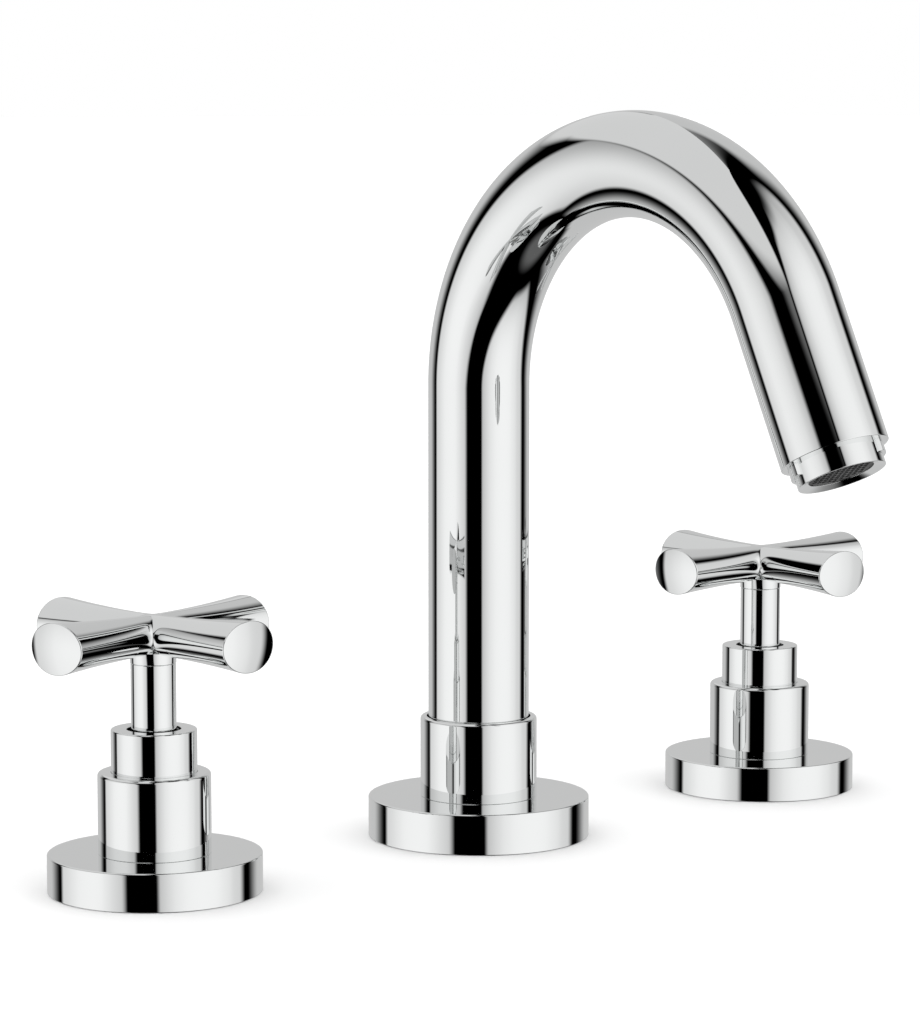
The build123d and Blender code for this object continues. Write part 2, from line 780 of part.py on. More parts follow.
# Side valves: hot at -X opens anticlockwise seen from above, cold at +X opens clockwise
for prefix, side, turn_way, rest_turn in (
    ("hot", -1, 1, hot_rest_turn),
    ("cold", 1, -1, cold_rest_turn),
):
    place = Plane((side * hole_spacing, 0, 0))
    make_valve_body(f"{prefix}_valve_body", place, -side)
    make_ring(
        f"{prefix}_inlet_tube",
        place,
        inlet_tube_radius,
        housing_floor - housing_bottom - inlet_tube_socket,
        seal_foot,
        inlet_tube_bore,
    )
    make_ring(
        f"{prefix}_seat_seal",
        place,
        disc_chamber_radius - seat_clearance,
        seal_foot,
        fixed_disc_foot,
        inlet_tube_bore,
    )
    make_discs(prefix, place)
    make_headwork(f"{prefix}_headwork", place)
    make_ring(
        f"{prefix}_headwork_gasket", place, headwork_rim, shank_top, rim_foot, shank_bore
    )
    make_spindle(f"{prefix}_spindle", place, turn_way)
    make_o_rings(
        f"{prefix}_spindle_o_rings",
        place,
        spindle_radius - spindle_groove,
        neck_bore,
        spindle_ring_heights,
    )
    make_clip(
        f"{prefix}_spindle_circlip",
        place,
        spindle_radius - circlip_groove + press_clearance,
        spindle_radius + circlip_proud,
        circlip_foot,
        circlip_foot + circlip_thickness,
    )
    make_flange(f"{prefix}_flange", place, flange_radius, flange_height, lower_sleeve_bore)
    make_ring(
        f"{prefix}_flange_seal",
        place,
        flange_radius - flange_rim - seat_clearance,
        0,
        flange_seal_thickness,
        flange_seal_bore,
    )
    make_sleeve(
        f"{prefix}_lower_sleeve",
        place,
        lower_sleeve_radius,
        flange_height,
        lower_sleeve_end,
        lower_sleeve_bore,
        lower_sleeve_top,
        upper_sleeve_radius + thread_clearance,
        lower_sleeve_edge,
    )
    make_sleeve(
        f"{prefix}_upper_sleeve",
        place,
        upper_sleeve_radius,
        hexagon_top,
        upper_sleeve_end,
        neck_radius + thread_clearance,
        upper_sleeve_top,
        stem_radius + stem_gap,
        upper_sleeve_edge,
    )
    make_stem(f"{prefix}_stem", place)
    make_grub_screw(f"{prefix}_stem_grub_screw", place)
    make_handle(f"{prefix}_handle", place, rest_turn, cross_arm)
    make_clamp(prefix, place, shank_radius)

# Spout
make_spout_tube()
make_aerator()
make_spigot()
make_o_rings(
    "spigot_o_rings", deck, spigot_radius - spigot_groove, base_bore, spigot_ring_heights
)
make_clip(
    "spigot_snap_ring",
    deck,
    spigot_radius - snap_ring_groove + press_clearance,
    base_bore + snap_ring_proud,
    snap_ring_top - snap_ring_thickness,
    snap_ring_top,
)
make_ring("glide_ring", deck, tube_radius, base_top, tube_foot, base_bore)
make_spout_base()
make_flange(
    "spout_flange",
    deck,
    spout_flange_radius,
    spout_flange_height,
    base_radius + thread_clearance,
)
make_ring(
    "spout_flange_seal",
    deck,
    spout_flange_radius - flange_rim - seat_clearance,
    0,
    flange_seal_thickness,
    flange_seal_bore,
)
make_clamp("spout", deck, base_radius)
make_tee()
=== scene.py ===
# %% [markdown]
# # A three-hole basin mixer in polished chrome
#
# Three pieces stand in a row on a basin's rim: a swan-neck spout in the middle and a cross-handle
# valve on each side. Almost everything that shows is turned or bent round metal with a mirror
# finish, so two things make the picture: surfaces with exact normals, and a studio worth
# reflecting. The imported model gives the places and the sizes, and this lesson dresses it.

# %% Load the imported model
import json

import bmesh
import bpy
import numpy as np
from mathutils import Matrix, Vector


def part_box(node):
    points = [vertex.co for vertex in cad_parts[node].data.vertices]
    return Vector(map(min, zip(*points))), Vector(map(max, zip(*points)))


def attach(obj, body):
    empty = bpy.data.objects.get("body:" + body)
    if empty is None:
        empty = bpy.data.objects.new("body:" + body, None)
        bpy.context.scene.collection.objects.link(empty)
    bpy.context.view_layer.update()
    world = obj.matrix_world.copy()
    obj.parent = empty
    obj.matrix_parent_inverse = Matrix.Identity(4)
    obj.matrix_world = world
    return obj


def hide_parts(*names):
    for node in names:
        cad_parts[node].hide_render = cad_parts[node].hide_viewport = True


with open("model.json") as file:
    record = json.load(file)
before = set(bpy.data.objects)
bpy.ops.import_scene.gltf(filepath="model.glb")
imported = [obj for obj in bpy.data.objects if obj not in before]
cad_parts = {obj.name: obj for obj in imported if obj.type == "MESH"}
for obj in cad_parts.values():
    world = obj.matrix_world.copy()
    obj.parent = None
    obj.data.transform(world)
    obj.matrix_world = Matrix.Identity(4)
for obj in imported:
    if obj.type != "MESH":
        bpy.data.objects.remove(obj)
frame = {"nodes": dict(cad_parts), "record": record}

mm = 0.001


def in_mm(lengths, digits=1):
    """Lengths given in metres, in rounded millimetres."""
    return np.round(np.array(lengths) / mm, digits)


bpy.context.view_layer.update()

# %% [markdown]
# ## Closed outlines with rounded corners
#
# A turned part is an outline carried round an axis. On polished metal the narrow bright line
# along every edge tells the eye how sharp the edge is, so each corner of an outline is a true
# arc. A bevel modifier could round the corners too, but it gives all of them one width. Beside
# the points, the outline keeps its exact normals. Blender would otherwise average the normals
# of a wide flat face and a tiny arc, and the flat face would look bent.

# %% Round the corners of an outline
arc_steps = 7


def unit(vectors):
    """Vectors divided by their lengths."""
    return vectors / np.linalg.norm(vectors, axis=-1, keepdims=True)


def rounded(corners, radii):
    """Points and outward normals of a closed outline with an arc at each corner.

    An arc's middle lies on the corner's bisector, at its radius over the sine of half the
    corner's angle. Its points turn evenly from one side's normal to the other's.
    """
    corner = np.array(corners, float)
    radius = np.broadcast_to(np.array(radii, float), len(corner))[:, None]
    back = unit(np.roll(corner, 1, axis=0) - corner)
    ahead = unit(np.roll(corner, -1, axis=0) - corner)
    half = np.arccos(np.clip((back * ahead).sum(axis=1), -1, 1))[:, None] / 2
    middle = corner + unit(back + ahead) * radius / np.sin(half)
    first = unit(corner + back * radius / np.tan(half) - middle)
    last = unit(corner + ahead * radius / np.tan(half) - middle)
    turn = np.pi - 2 * half
    share = np.linspace(0, 1, arc_steps)[None, :]
    out = (
        np.sin((1 - share) * turn)[..., None] * first[:, None, :]
        + np.sin(share * turn)[..., None] * last[:, None, :]
    ) / np.sin(turn)[..., None]
    cross = ahead[:, 0] * back[:, 1] - ahead[:, 1] * back[:, 0]
    following = np.roll(corner, -1, axis=0)
    way = np.sign((corner[:, 0] * following[:, 1] - corner[:, 1] * following[:, 0]).sum())
    bulge = np.sign(cross * way)[:, None, None]
    points = middle[:, None, :] + radius[:, None, :] * out
    return points.reshape(-1, 2), (out * bulge).reshape(-1, 2)


square_points, _ = rounded([(0, 0), (1, 0), (1, 1), (0, 1)], 0.1)
print("a square outline has", len(square_points), "points")

# %% [markdown]
# ## Carrying an outline round a line
#
# The outline's two numbers are the distance along a line and the distance out from it. The line
# may be straight, for a sleeve, or bend, for the swan neck. The result is a closed grid, like
# the skin of a ring, with no pole and no open seam. A screw modifier turns outlines as well, but
# only round a straight axis, and this helper serves both.

# %% Carry an outline round a straight line
def straight(origin, direction, side):
    """Line through origin: its point moves along direction, and side stays square to it."""
    origin, direction, side = (np.array(v, float) for v in (origin, direction, side))

    def line(along):
        middle = origin + along[:, None] * direction
        shape = middle.shape
        return middle, np.broadcast_to(direction, shape), np.broadcast_to(side, shape)

    return line


def carried(outline, normals, line, segments):
    """Grid of points and normals of an outline carried round a line.

    point = line + out * (cos(turn) * side + sin(turn) * up), with up square to the line and side.
    """
    middle, direction, side = line(outline[:, 0])
    up = np.cross(direction, side)
    turn = np.linspace(0, 2 * np.pi, segments, endpoint=False)[:, None, None]
    out = np.cos(turn) * side + np.sin(turn) * up
    points = middle + outline[:, 1][:, None] * out
    facing = normals[:, 0][:, None] * direction + normals[:, 1][:, None] * out
    return points, facing


def ring_faces(turns, length):
    """Four corners of each cell of a grid that closes on itself both ways."""
    number = np.arange(turns * length).reshape(turns, length)
    right = np.roll(number, -1, axis=1)
    return np.stack(
        [number, right, np.roll(right, -1, axis=0), np.roll(number, -1, axis=0)], axis=-1
    ).reshape(-1, 4)


print("a closed grid of 3 by 4 points has", len(ring_faces(3, 4)), "faces")

# %% Put a surface into a mesh
def volume_of(points, faces):
    """Signed volume: a sixth of the sum of corner triples, over the faces cut in triangles."""
    a, b, c, d = (points[faces[:, k]] for k in range(4))
    return (np.cross(b - a, c - a) * a).sum() / 6 + (np.cross(c - a, d - a) * a).sum() / 6


def surface(name, points, faces, normals=None):
    """Object at the origin with a smooth mesh whose faces point outwards."""
    points = points.reshape(-1, 3)
    if volume_of(points, faces) < 0:
        faces = faces[:, ::-1]
    mesh = bpy.data.meshes.new(name)
    mesh.from_pydata(points, [], faces.tolist())
    mesh.shade_smooth()
    if normals is not None:
        mesh.normals_split_custom_set_from_vertices(unit(normals.reshape(-1, 3)))
    piece = bpy.data.objects.new(name, mesh)
    bpy.context.scene.collection.objects.link(piece)
    return piece


def dress(piece, body, slot, *nodes):
    """A finished piece rides on its body and stands for its solid."""
    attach(piece, body)
    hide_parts(*nodes)
    size = np.ptp(np.array([v.co for v in piece.data.vertices]), axis=0)
    print(f"{piece.name}: {len(piece.data.polygons)} faces, {in_mm(size)} mm")
    return piece


turned_segments = 224


def turned(name, body, corners, radii, line, node):
    """Turned chrome part: corners are (along, out) in mm, and radii round them."""
    outline, normals = rounded(np.array(corners) * mm, np.array(radii) * mm)
    points, facing = carried(outline, normals, line, turned_segments)
    faces = ring_faces(*points.shape[:2])
    return dress(surface(name, points, faces, facing), body, "chrome", node)


print("segments round a turned part:", turned_segments)

# %% [markdown]
# ## Flanges, sleeves and stems
#
# Below each handle stand four turned parts: a thick flange on the deck, a large sleeve that
# screws down on it, a smaller sleeve with a narrow mouth, and the slim stem. The real ones are
# turned on a lathe. Bevelled cylinders could stand for them, but turned outlines give each edge
# its own radius. The outlines follow the solid model's, walls and bores included, because the
# gaps between the parts show as thin dark rings in the photograph. The small screw holes at the
# back of the solid model's stems and collar are left out.

# %% Turn the parts of both valves
hole_spacing = 100.0
valve_parts = {
    "flange": (
        [(0, 25), (9, 25), (9, 12.05), (2, 12.05), (2, 21), (0, 21)],
        [0.2, 0.4, 0.1, 0.1, 0.1, 0.1],
    ),
    "lower_sleeve": (
        [(9, 13.15), (28, 13.15), (28, 10.05), (26.8, 10.05), (26.8, 12.05), (9, 12.05)],
        [0.15, 0.9, 0.1, 0.1, 0.1, 0.1],
    ),
    "upper_sleeve": (
        [(26.5, 10), (38, 10), (38, 6.3), (36.4, 6.3), (36.4, 8.5), (26.5, 8.5)],
        [0.1, 0.4, 0.2, 0.1, 0.1, 0.1],
    ),
    "stem": ([(36.3, 5.25), (53.4, 5.25), (53.4, 3.55), (36.3, 3.55)], [0.1, 0.25, 0.1, 0.1]),
}
chrome_pieces = []
for valve, side in (("hot", -1), ("cold", 1)):
    upright = straight((side * hole_spacing * mm, 0, 0), (0, 0, 1), (1, 0, 0))
    for part, (corners, radii) in valve_parts.items():
        body = f"{valve}_control" if part == "stem" else "base"
        name = f"{valve}_{part}"
        chrome_pieces.append(turned(f"{name}_turned", body, corners, radii, upright, name))

# %% [markdown]
# ## Spout base
#
# The spout stands on a wider flange, and a plain collar hides the joint in which it swings.
# Both are turned like the valves' parts, so their edges catch the light in the same way.

# %% Turn the spout's flange and collar
upright = straight((0, 0, 0), (0, 0, 1), (1, 0, 0))
spout_parts = {
    "spout_flange": (
        [(0, 27.5), (10, 27.5), (10, 13.05), (2, 13.05), (2, 23.5), (0, 23.5)],
        [0.2, 0.4, 0.1, 0.1, 0.1, 0.1],
    ),
    "spout_collar": (
        [(10, 14.5), (30, 14.5), (30, 12.9), (18, 12.9), (18, 13.05), (10, 13.05)],
        [0.15, 0.8, 0.15, 0.05, 0.05, 0.1],
    ),
}
for part, (corners, radii) in spout_parts.items():
    chrome_pieces.append(turned(f"{part}_turned", "base", corners, radii, upright, part))

# %% [markdown]
# ## Swan neck
#
# The neck is one tube: straight up, round a wide bend, and a short straight run to the mouth.
# The bend carries the long curved reflections that make the spout, so it has many fine rings
# and keeps its exact normals. The tube is hollow, and its mouth has a rounded rim. A curve with
# a round bevel would bend as well, but it has neither a wall nor a rim.

# %% The neck's middle line
tube_radius, tube_bore, tube_foot = 12.5, 11.0, 19.5
aerator_seat, seat_depth = 9.6, 10
bush_bore, bush_depth = 7.5, 12
spout_height, spout_reach = 180.0, 120.0
outlet_tilt, outlet_straight = np.radians(25.5), 36.0
bend_angle = np.pi - outlet_tilt
bend_radius = (spout_reach - outlet_straight * np.sin(outlet_tilt)) / (1 + np.cos(outlet_tilt))
bend_foot = spout_height - tube_radius - bend_radius
neck_length = bend_foot + bend_radius * bend_angle + outlet_straight


def neck_line(along):
    """Up to the bend's foot, round an arc towards -Y, then on in a straight line."""
    turn = np.clip((along - bend_foot * mm) / (bend_radius * mm), 0, bend_angle)
    rise = np.minimum(along, bend_foot * mm)
    beyond = np.maximum(along - (bend_foot + bend_radius * bend_angle) * mm, 0)
    forward = bend_radius * mm * (1 - np.cos(turn)) + beyond * np.sin(turn)
    height = rise + bend_radius * mm * np.sin(turn) + beyond * np.cos(turn)
    none = np.zeros_like(along)
    middle = np.stack([none, -forward, height], axis=1)
    direction = np.stack([none, -np.sin(turn), np.cos(turn)], axis=1)
    return middle, direction, np.broadcast_to([1.0, 0.0, 0.0], middle.shape)


print("bend radius", round(bend_radius, 1), "mm, middle line", round(neck_length, 1), "mm")

# %% Bend the tube
ring_spacing, neck_segments = 1.0, 192


def long_outline(outline, normals, longest):
    """Outline with extra points on its long sides, spaced no wider than longest."""
    ahead = np.roll(outline, -1, axis=0)
    parts = np.ceil(np.linalg.norm(ahead - outline, axis=1) / longest).astype(int).clip(1)
    number = np.repeat(np.arange(len(outline)), parts)
    share = (np.arange(parts.sum()) - np.repeat(np.cumsum(parts) - parts, parts)) / parts[number]
    share = share[:, None]
    between = outline[number] * (1 - share) + ahead[number] * share
    facing = normals[number] * (1 - share) + np.roll(normals, -1, axis=0)[number] * share
    return between, facing


neck_corners = [
    (tube_foot, tube_radius),
    (neck_length, tube_radius),
    (neck_length, aerator_seat),
    (neck_length - seat_depth, aerator_seat),
    (neck_length - seat_depth, bush_bore),
    (neck_length - bush_depth, bush_bore),
    (neck_length - bush_depth, tube_bore),
    (tube_foot, tube_bore),
]
neck_radii = [0.1, 0.2, 0.2, 0.1, 0.1, 0.1, 0.1, 0.1]
outline, normals = rounded(np.array(neck_corners) * mm, np.array(neck_radii) * mm)
outline, normals = long_outline(outline, normals, ring_spacing * mm)
points, facing = carried(outline, normals, neck_line, neck_segments)
neck = surface("spout_neck", points, ring_faces(*points.shape[:2]), facing)
chrome_pieces.append(dress(neck, "spout", "chrome", "spout_tube"))

# %% [markdown]
# ## Aerator ring
#
# A short ring screws into the mouth. Its wider band is cut away for a spanner, so that only two
# lugs stand out, and one rule makes them: between the lugs a point may not stand further out
# than the plain band below. A boolean cut would do the same, but it leaves long thin faces.

# %% Turn the aerator ring and leave its lugs
mouth, mouth_direction, mouth_side = (v[0] for v in neck_line(np.array([neck_length * mm])))
outlet = straight(mouth, mouth_direction, mouth_side)
plain_band, lug_half_angle, lug_turn = 10.2, np.radians(27), np.radians(41)
aerator_segments, least_cut = 256, 1e-7
aerator_corners = [
    (-8.2, 9.55),
    (0, 9.55),
    (0, 11),
    (2.8, 11),
    (2.8, plain_band),
    (5.2, plain_band),
    (5.2, 9.75),
    (4.4, 7.6),
    (4.2, 7.6),
    (4.2, 8.2),
    (-8.2, 8.2),
]
aerator_radii = [0.1, 0.05, 0.1, 0.15, 0.08, 0.15, 0.1, 0.05, 0.05, 0.1, 0.1]
outline, normals = rounded(np.array(aerator_corners) * mm, np.array(aerator_radii) * mm)
points, facing = carried(outline, normals, outlet, aerator_segments)
turn = np.linspace(0, 2 * np.pi, aerator_segments, endpoint=False)[:, None]
from_lug = np.abs((turn - lug_turn + np.pi / 2) % np.pi - np.pi / 2)
reach_out = outline[:, 1]
trimmed = np.minimum(reach_out, plain_band * mm)
kept = np.where(from_lug > lug_half_angle, trimmed, reach_out)
out = (points - mouth - outline[:, :1] * mouth_direction) / outline[:, 1:]
points = points + (kept - reach_out)[..., None] * out
facing = np.where((kept < reach_out - least_cut)[..., None], out, facing)
ring = surface("aerator_ring", points, ring_faces(*points.shape[:2]), facing)
chrome_pieces.append(dress(ring, "spout", "chrome", "aerator_housing"))

# %% [markdown]
# ## Cross handles
#
# Each handle is four arms that flare from a small hub to domed ends. One smooth patch covers the
# quarter between two neighbouring arms: it runs from one arm's end down its flank, round the
# corner at the hub, and out along the next arm. The ends are parts of one ball round the hub,
# and a narrow rounded rim joins flank and dome. Four cones joined by a boolean and a bevel would
# be quicker, but a mirror shows every ripple and crease that these leave at the hub.

# %% Sizes of an arm
handle_radius, handle_foot, handle_middle = 31.5, 54.0, 5.95
hub_width, end_width, flare = 3.7, 8.2, 1.15
hub_height, end_height, swell = 4.6, 5.95, 1.9
arm_face = np.sqrt(handle_radius**2 - end_width**2)
crotch, crotch_power, crest_crotch, rim = 1.1, 0.3, 3.0, 0.28
round_steps, arm_steps, dome_steps, rim_steps = 72, 44, 22, 6
settling_steps = 12


def arm_width(reach):
    """Half the width of an arm: it grows with the reach to the power of flare."""
    return hub_width + (end_width - hub_width) * (reach / arm_face) ** flare


def arm_height(reach):
    """Half the height of an arm: it grows with the reach to the power of swell."""
    return hub_height + (end_height - hub_height) * (reach / arm_face) ** swell


def settle(rule, start):
    """Value that a rule gives back unchanged, found by using it again and again."""
    for _ in range(settling_steps):
        start = rule(start)
    return start


def reach_to_dome(turn):
    """Reach at which the arm's skin meets the ball of the handle's radius."""

    def rule(reach):
        aside = np.cos(turn) * arm_width(reach)
        above = np.sin(turn) * arm_height(reach)
        return np.sqrt(handle_radius**2 - aside**2 - above**2)

    return settle(rule, np.full(turn.shape, arm_face))


print("an arm's end is", 2 * end_width, "mm wide and", 2 * end_height, "mm high")

# %% The skin between two arms
def quarter_skin():
    """Grid (round, along) in mm, hub at the origin, from one arm's end to the next arm's end.

    Round the section, x = reach, y = cos(turn) * width and z = middle + sin(turn) * height.
    Along the bisector of the two arms, d = (x + y) / sqrt 2 is lifted to a hyperbola,
    d + sqrt(e^2 + r^2) - |e| with e = (x - y) / sqrt 2, which rounds the corner. Its r is crotch
    times a power of cos(turn), and the lift fades out towards the arms' ends. The crest takes
    its height at a reach that is smoothed in the same way.
    """
    turn = np.linspace(-np.pi / 2, np.pi / 2, round_steps + 1)[:, None]
    lean = np.cos(turn).clip(0)
    inner = settle(lambda reach: lean * arm_width(reach), lean * hub_width)
    outer = reach_to_dome(turn) - rim
    way = np.linspace(-1, 1, 2 * arm_steps + 1)[None, :]
    share = (1 - np.cos(np.pi * np.abs(way))) / 2
    reach = inner + share * (outer - inner)
    aside = lean * arm_width(reach)
    e = (reach - aside) / np.sqrt(2)
    fade = (1 - share) ** 2
    corner_round = crotch * lean**crotch_power
    d = (reach + aside) / np.sqrt(2) + fade * (np.sqrt(e**2 + corner_round**2) - e)
    smooth_reach = reach + fade * np.sqrt(2) * (np.sqrt(e**2 + crest_crotch**2) - e)
    height = handle_middle + np.sin(turn) * arm_height(smooth_reach)
    e = np.sign(way) * e
    return np.stack([(d + e) / np.sqrt(2), (d - e) / np.sqrt(2), height], axis=-1)


print("points of a quarter, round and along:", quarter_skin().shape[:2])

# %% The domed end of an arm
def domed_end():
    """Grid (round, inwards) in mm of the rim and the dome of the arm along +X.

    The rim is a quadratic Bezier from flank to dome. The dome's points lie on the ball, on
    directions blended from the rim's to the arm's own.
    """
    turn = np.linspace(0, 2 * np.pi, 2 * round_steps, endpoint=False) - np.pi / 2
    centre = np.array([0, 0, handle_middle])

    def skin(reach):
        height = handle_middle + np.sin(turn) * arm_height(reach)
        return np.stack([reach, np.cos(turn) * arm_width(reach), height], axis=-1)

    edge = reach_to_dome(turn)
    corner = skin(edge)
    middle = np.array([1.0, 0.0, 0.0])

    def dome(share):
        blend = unit(corner - centre)[:, None, :] * (1 - share) + middle * share
        return centre + handle_radius * unit(blend)

    inwards = rim / end_width
    share = np.linspace(0, 1, rim_steps)[None, :, None]
    curve = (
        (1 - share) ** 2 * skin(edge - rim)[:, None, :]
        + 2 * share * (1 - share) * corner[:, None, :]
        + share**2 * dome(np.array([[[inwards]]]))
    )
    step = np.linspace(0, 1, dome_steps + 1)[None, 1:, None]
    cap = dome(inwards + (1 - inwards) * (1 - np.cos(np.pi * step / 2)))
    return np.concatenate([curve, cap], axis=1)


print("points of a domed end, round and inwards:", domed_end().shape[:2])

# %% Weld the patches into two handles
boss_corners = [(-0.6, 5.35), (2.3, 5.35), (2.3, 4.05), (-0.6, 4.05)]
boss_radii = [0.1, 0.4, 0.1, 0.1]
boss_segments, weld_distance = 128, 2e-6


def sheet_faces(rows, columns, closed):
    """Four corners of each cell of a grid, closed round its rows where asked."""
    number = np.arange(rows * columns).reshape(rows, columns)
    if closed:
        number = np.concatenate([number, number[:1]])
    return np.stack(
        [number[:-1, :-1], number[:-1, 1:], number[1:, 1:], number[1:, :-1]], axis=-1
    ).reshape(-1, 4)


def quarter_turns(points, place, rest_turn):
    """Four copies in metres, a right angle apart, turned by rest_turn and moved to place."""
    turn = np.radians(rest_turn + np.arange(4) * 90)[:, None, None]
    x, y, z = (points[..., k] for k in range(3))
    return place + mm * np.stack(
        [x * np.cos(turn) - y * np.sin(turn), x * np.sin(turn) + y * np.cos(turn), z + 0 * turn],
        axis=-1,
    )


def cross_handle(name, place, rest_turn, body, node):
    """Skins, domes and the boss below, welded where patches meet."""
    skin, end = quarter_skin(), domed_end()
    outline, normals = rounded(np.array(boss_corners) * mm, np.array(boss_radii) * mm)
    boss, _ = carried(outline, normals, straight(place, (0, 0, 1), (1, 0, 0)), boss_segments)
    sheets = [(grid, False) for grid in quarter_turns(skin, place, rest_turn)]
    sheets += [(grid, True) for grid in quarter_turns(end, place, rest_turn)]
    points, faces, count = [], [], 0
    for grid, closed in sheets:
        points.append(grid.reshape(-1, 3))
        faces.append(sheet_faces(*grid.shape[:2], closed) + count)
        count += len(points[-1])
    points.append(boss.reshape(-1, 3))
    faces.append(ring_faces(*boss.shape[:2]) + count)
    handle = surface(name, np.concatenate(points), np.concatenate(faces))
    work = bmesh.new()
    work.from_mesh(handle.data)
    bmesh.ops.remove_doubles(work, verts=work.verts, dist=weld_distance)
    bmesh.ops.recalc_face_normals(work, faces=work.faces)
    open_edges = sum(not edge.is_manifold for edge in work.edges)
    work.to_mesh(handle.data)
    work.free()
    print(f"{name}: {open_edges} edges without two faces")
    return dress(handle, body, "chrome", node)


for valve, side, rest_turn in (("hot", -1, 8.5), ("cold", 1, -2.0)):
    place = np.array([side * hole_spacing, 0, handle_foot]) * mm
    handle = cross_handle(
        f"{valve}_cross_handle", place, rest_turn, f"{valve}_control", f"{valve}_handle"
    )
    chrome_pieces.append(handle)

# %% [markdown]
# ## Materials
#
# Plating, machining and moulding each leave their own marks. One node group gives the faint
# unevenness that they share, as a mask and a height, and each material uses it at its own scale
# and strength. Image textures could carry such marks, but they need unwrapped meshes. Here all
# is worked out from Object coordinates, so it stays put when a piece turns.

# %% A shared group for uneven surfaces
def add_node(tree, kind, at, **inputs):
    """Node of a kind with values set on its inputs by name."""
    node = tree.nodes.new(kind)
    node.location = at
    for key, value in inputs.items():
        node.inputs[key].default_value = value
    return node


def math_node(tree, operation, at, *values):
    """Math node; each value is a number or an output to link."""
    node = tree.nodes.new("ShaderNodeMath")
    node.operation = operation
    node.location = at
    for socket, value in zip(node.inputs, values):
        if isinstance(value, bpy.types.NodeSocket):
            tree.links.new(value, socket)
        else:
            socket.default_value = value
    return node.outputs[0]


def vector_node(tree, operation, at, *values):
    """Vector Math node; each value is a vector or an output to link."""
    node = tree.nodes.new("ShaderNodeVectorMath")
    node.operation = operation
    node.location = at
    for socket, value in zip(node.inputs, values):
        if isinstance(value, bpy.types.NodeSocket):
            tree.links.new(value, socket)
        else:
            socket.default_value = tuple(value)
    return node.outputs["Value" if operation == "DOT_PRODUCT" else "Vector"]


def make_uneven():
    """Group: soft blotches and fine grain of a worked surface, as Mask and Height."""
    group = bpy.data.node_groups.new("worked surface", "ShaderNodeTree")
    face = group.interface
    for label, value in (("Blotch Scale", 60.0), ("Grain Scale", 900.0), ("Grain Share", 0.3)):
        socket = face.new_socket(label, in_out="INPUT", socket_type="NodeSocketFloat")
        socket.default_value = value
    socket = face.new_socket("Stretch", in_out="INPUT", socket_type="NodeSocketVector")
    socket.default_value = (1, 1, 1)
    face.new_socket("Mask", in_out="OUTPUT", socket_type="NodeSocketFloat")
    face.new_socket("Height", in_out="OUTPUT", socket_type="NodeSocketFloat")
    source = add_node(group, "NodeGroupInput", (-900, 0))
    sink = add_node(group, "NodeGroupOutput", (500, 0))
    where = add_node(group, "ShaderNodeTexCoord", (-900, 260))
    stretched = vector_node(
        group, "MULTIPLY", (-680, 160), where.outputs["Object"], source.outputs["Stretch"]
    )
    blotch = add_node(group, "ShaderNodeTexNoise", (-420, 200), Detail=3.0, Roughness=0.5)
    grain = add_node(group, "ShaderNodeTexNoise", (-420, -120), Detail=5.0, Roughness=0.65)
    for noise, label in ((blotch, "Blotch Scale"), (grain, "Grain Scale")):
        group.links.new(stretched, noise.inputs["Vector"])
        group.links.new(source.outputs[label], noise.inputs["Scale"])
    share = source.outputs["Grain Share"]
    fine = math_node(group, "MULTIPLY", (-160, -120), grain.outputs["Fac"], share)
    rest = math_node(group, "SUBTRACT", (-160, 60), 1.0, share)
    wide = math_node(group, "MULTIPLY", (20, 160), blotch.outputs["Fac"], rest)
    both = math_node(group, "ADD", (200, 60), wide, fine)
    group.links.new(both, sink.inputs["Height"])
    group.links.new(both, sink.inputs["Mask"])
    return group


uneven = make_uneven()
print("group sockets:", [item.name for item in uneven.interface.items_tree])

# %% Build a material from the group
mask_low, mask_high = 0.35, 0.65


def worked(
    name, dark, light, metallic, rough, blotch, grain, share, bump, stretch=(1, 1, 1), coat=0.0
):
    """Principled material: colour and roughness move between two values with the group's mask."""
    material = bpy.data.materials.new(name)
    material.use_nodes = True
    tree = material.node_tree
    shader = tree.nodes["Principled BSDF"]
    shader.inputs["Metallic"].default_value = metallic
    shader.inputs["Coat Weight"].default_value = coat
    marks = tree.nodes.new("ShaderNodeGroup")
    marks.node_tree = uneven
    marks.location = (-700, 0)
    for label, value in (
        ("Blotch Scale", blotch),
        ("Grain Scale", grain),
        ("Grain Share", share),
        ("Stretch", stretch),
    ):
        marks.inputs[label].default_value = value
    colour = tree.nodes.new("ShaderNodeMix")
    colour.data_type = "RGBA"
    colour.location = (-400, 200)
    colour.inputs["A"].default_value = (*dark, 1)
    colour.inputs["B"].default_value = (*light, 1)
    tree.links.new(marks.outputs["Mask"], colour.inputs["Factor"])
    tree.links.new(colour.outputs["Result"], shader.inputs["Base Color"])
    low, high = rough
    spread = tree.nodes.new("ShaderNodeMapRange")
    spread.location = (-400, -60)
    for label, value in (
        ("From Min", mask_low),
        ("From Max", mask_high),
        ("To Min", low),
        ("To Max", high),
    ):
        spread.inputs[label].default_value = value
    tree.links.new(marks.outputs["Mask"], spread.inputs["Value"])
    tree.links.new(spread.outputs["Result"], shader.inputs["Roughness"])
    relief = add_node(tree, "ShaderNodeBump", (-400, -340), Strength=1.0, Distance=bump)
    tree.links.new(marks.outputs["Height"], relief.inputs["Height"])
    tree.links.new(relief.outputs["Normal"], shader.inputs["Normal"])
    return material


